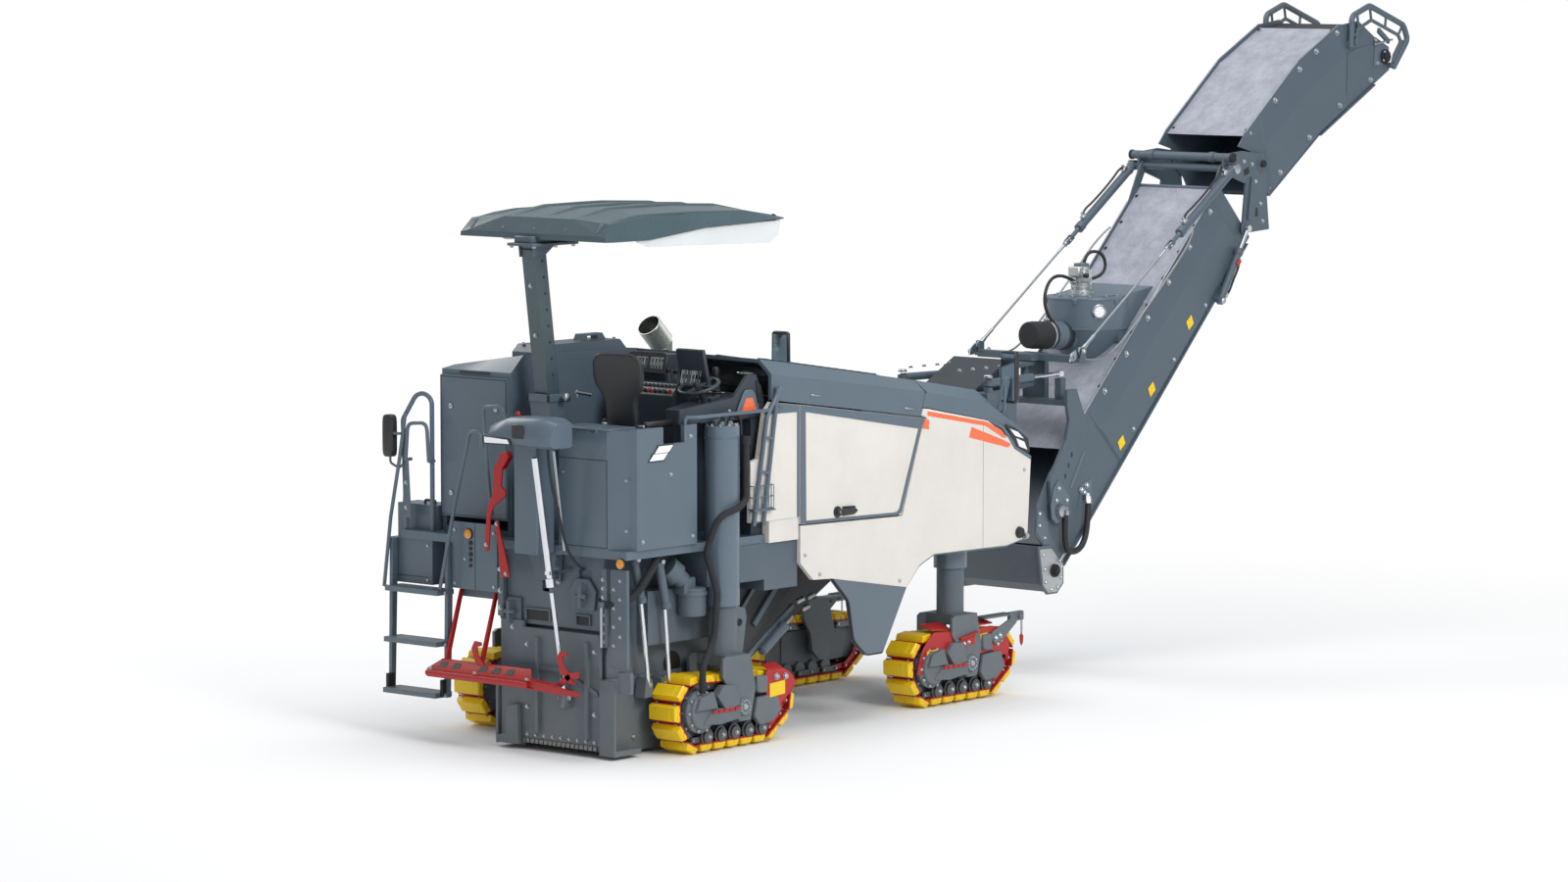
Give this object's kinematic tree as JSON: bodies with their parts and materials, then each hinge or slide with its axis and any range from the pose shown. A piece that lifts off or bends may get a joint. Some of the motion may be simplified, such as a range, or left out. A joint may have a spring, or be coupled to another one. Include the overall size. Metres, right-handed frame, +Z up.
{
  "type": "cold milling machine",
  "caption": "Front-loading cold planer on four steered track units with a housed milling drum, operator platform under a sliding canopy and a folding discharge conveyor.",
  "frame": {"origin": "middle of the footprint, on the ground", "axes": "+X the way the machine drives and discharges, +Y its left, +Z up"},
  "size_m": [10.559, 2.5018, 5.1071],
  "materials": {
    "body_paint": "satin blue-grey paint",
    "panel_white": "satin cream-white paint",
    "frame_paint": "dark grey paint",
    "track_pads": "yellow pads on a red chain",
    "cast_grey": "rough casting",
    "steel": "bright",
    "chrome_rod": "polished",
    "belt_cover": "coated fabric cover",
    "black_plastic": "textured",
    "red_paint": "satin red paint",
    "seat_cover": "soft"
  },
  "bodies": {
    "chassis": {"main_frame": "frame_paint", "column_sleeves": "body_paint", "drum_housing": "frame_paint", "engine_block": "cast_grey", "primary_conveyor": "frame_paint", "swivel_carrier": "body_paint", "side_panel_right": "panel_white", "side_panel_left": "panel_white", "lower_skirts": "body_paint", "left_hood": "body_paint", "nose_hood": "body_paint", "cabinet": "body_paint", "platform": "body_paint", "rear_panels": "body_paint", "consoles": "body_paint", "seat": "seat_cover", "canopy_sleeve": "body_paint", "light_bar": "body_paint", "scraper_cylinder": "body_paint", "ladder_left": "body_paint", "handrails": "body_paint", "mirrors": "black_plastic", "ladder_right": "body_paint", "exhaust": "frame_paint", "lock_bar": "red_paint", "rear_boxes": "body_paint", "operator_controls": "black_plastic"},
    "unit_rear_right": {"track_rear_right": "track_pads", "track_frame_rear_right": "body_paint", "track_hose": "black_plastic"},
    "unit_rear_left": {"track_rear_left": "track_pads", "track_frame_rear_left": "body_paint"},
    "unit_front_right": {"track_front_right": "track_pads", "track_frame_front_right": "body_paint"},
    "unit_front_left": {"track_front_left": "track_pads", "track_frame_front_left": "body_paint"},
    "drum": {"milling_drum": "cast_grey"},
    "scraper_body": {"scraper": "frame_paint"},
    "plate_right": {"side_plate_right": "body_paint"},
    "plate_left": {"side_plate_left": "body_paint"},
    "swivel_body": {"swivel": "body_paint"},
    "lower_section": {"lower_conveyor": "frame_paint", "tail_hopper": "body_paint", "lower_cover": "belt_cover", "suction_unit": "body_paint"},
    "fold_plates": {"fold_link": "body_paint"},
    "upper_section": {"upper_conveyor": "frame_paint", "upper_cover": "belt_cover", "head_guards": "body_paint"},
    "stay_cylinders": {"stay_barrels": "body_paint"},
    "stays": {"stay_ropes": "steel"},
    "fold_cylinders": {"fold_barrels": "body_paint"},
    "fold_pistons": {"fold_rods": "chrome_rod"},
    "slew_cylinder_right": {"slew_barrel_right": "body_paint"},
    "slew_piston_right": {"slew_rod_right": "chrome_rod"},
    "slew_cylinder_left": {"slew_barrel_left": "body_paint"},
    "slew_piston_left": {"slew_rod_left": "chrome_rod"},
    "door": {"service_door": "panel_white"},
    "lid": {"hood_lid": "body_paint"},
    "roof": {"canopy": "body_paint"}
  },
  "joints": [
    {"name": "steer_rear_right", "type": "hinge", "parent": "chassis", "child": "unit_rear_right", "pos_m": [-3.93, -1.076, 0.3], "axis": [0, 0, 1], "range_deg": [-7, 7]},
    {"name": "steer_rear_left", "type": "hinge", "parent": "chassis", "child": "unit_rear_left", "pos_m": [-3.86, 0.882, 0.3], "axis": [0, 0, 1], "range_deg": [-10, 10]},
    {"name": "steer_front_right", "type": "hinge", "parent": "chassis", "child": "unit_front_right", "pos_m": [-1.133, -0.872, 0.3], "axis": [0, 0, 1], "range_deg": [-30, 30]},
    {"name": "steer_front_left", "type": "hinge", "parent": "chassis", "child": "unit_front_left", "pos_m": [-1.133, 0.572, 0.3], "axis": [0, 0, 1], "range_deg": [-30, 30]},
    {"name": "drum_turn", "type": "hinge", "parent": "chassis", "child": "drum", "pos_m": [-4.18, -0.15, 0.59], "axis": [0, 1, 0], "continuous": true},
    {"name": "scraper_lift", "type": "slide", "parent": "chassis", "child": "scraper_body", "axis": [-0.1719, 0, 0.9851], "range_m": [0, 0.4]},
    {"name": "side_plate_right_lift", "type": "slide", "parent": "chassis", "child": "plate_right", "axis": [0, 0, 1], "range_m": [0, 0.2]},
    {"name": "side_plate_left_lift", "type": "slide", "parent": "chassis", "child": "plate_left", "axis": [0, 0, 1], "range_m": [0, 0.2]},
    {"name": "conveyor_slew", "type": "hinge", "parent": "chassis", "child": "swivel_body", "pos_m": [0.67, -0.15, 2.3], "axis": [0, 0, 1], "range_deg": [-60, 60]},
    {"name": "conveyor_tilt", "type": "hinge", "parent": "swivel_body", "child": "lower_section", "pos_m": [0.55, -0.15, 1.26], "axis": [0, -1, 0], "range_deg": [-25, 5]},
    {"name": "fold_plates_turn", "type": "hinge", "parent": "lower_section", "child": "fold_plates", "pos_m": [2.70434, -0.15, 3.8187], "axis": [0, -1, 0], "range_deg": [0, 30]},
    {"name": "upper_section_turn", "type": "hinge", "parent": "fold_plates", "child": "upper_section", "pos_m": [3.17, -0.15, 3.84], "axis": [0, -1, 0], "range_deg": [0, 60]},
    {"name": "stay_cylinders_turn", "type": "hinge", "parent": "lower_section", "child": "stay_cylinders", "pos_m": [2.70434, -0.15, 3.8187], "axis": [0, -1, 0], "range_deg": [-5.9, 1.6]},
    {"name": "stays_extend", "type": "slide", "parent": "stay_cylinders", "child": "stays", "axis": [-0.8288, 0, -0.5595], "range_m": [-0.101, 0.483]},
    {"name": "fold_cylinders_turn", "type": "hinge", "parent": "lower_section", "child": "fold_cylinders", "pos_m": [2.59, -0.15, 2.775], "axis": [0, -1, 0], "range_deg": [-5.3, 1]},
    {"name": "fold_pistons_extend", "type": "slide", "parent": "fold_cylinders", "child": "fold_pistons", "axis": [0.5495, 0, 0.8355], "range_m": [0, 0.283]},
    {"name": "slew_cylinder_right_turn", "type": "hinge", "parent": "chassis", "child": "slew_cylinder_right", "pos_m": [-0.31, -0.57, 2.3], "axis": [0, 0, 1], "range_deg": [0, 7]},
    {"name": "slew_piston_right_extend", "type": "slide", "parent": "slew_cylinder_right", "child": "slew_piston_right", "axis": [0.9922, 0.1248, 0], "range_m": [-0.27, 0.27]},
    {"name": "slew_cylinder_left_turn", "type": "hinge", "parent": "chassis", "child": "slew_cylinder_left", "pos_m": [-0.31, 0.27, 2.3], "axis": [0, 0, -1], "range_deg": [0, 7]},
    {"name": "slew_piston_left_extend", "type": "slide", "parent": "slew_cylinder_left", "child": "slew_piston_left", "axis": [0.9922, -0.1248, 0], "range_m": [-0.27, 0.27]},
    {"name": "service_door_open", "type": "hinge", "parent": "chassis", "child": "door", "pos_m": [-3.145, -1.125, 2.362], "axis": [-0.9904, 0, 0.138], "range_deg": [0, 70]},
    {"name": "hood_open", "type": "hinge", "parent": "chassis", "child": "lid", "pos_m": [-3.455, -0.15, 2.728], "axis": [0, -1, 0], "range_deg": [0, 30]},
    {"name": "canopy_lower", "type": "slide", "parent": "chassis", "child": "roof", "axis": [-0.1323, 0, 0.9912], "range_m": [-0.5, 0]}
  ],
  "couplings": [
    {"joint": "upper_section_turn", "follows": "fold_plates_turn", "ratio": 2},
    {"joint": "stay_cylinders_turn", "follows": "conveyor_tilt", "ratio": 0.2144},
    {"joint": "stays_extend", "follows": "conveyor_tilt", "m_per_rad": -1.0947},
    {"joint": "fold_cylinders_turn", "follows": "fold_plates_turn", "ratio": -0.1446},
    {"joint": "fold_pistons_extend", "follows": "fold_plates_turn", "m_per_rad": 0.5308},
    {"joint": "slew_piston_right_extend", "follows": "conveyor_slew", "m_per_rad": 0.245},
    {"joint": "slew_piston_left_extend", "follows": "conveyor_slew", "m_per_rad": -0.245}
  ]
}
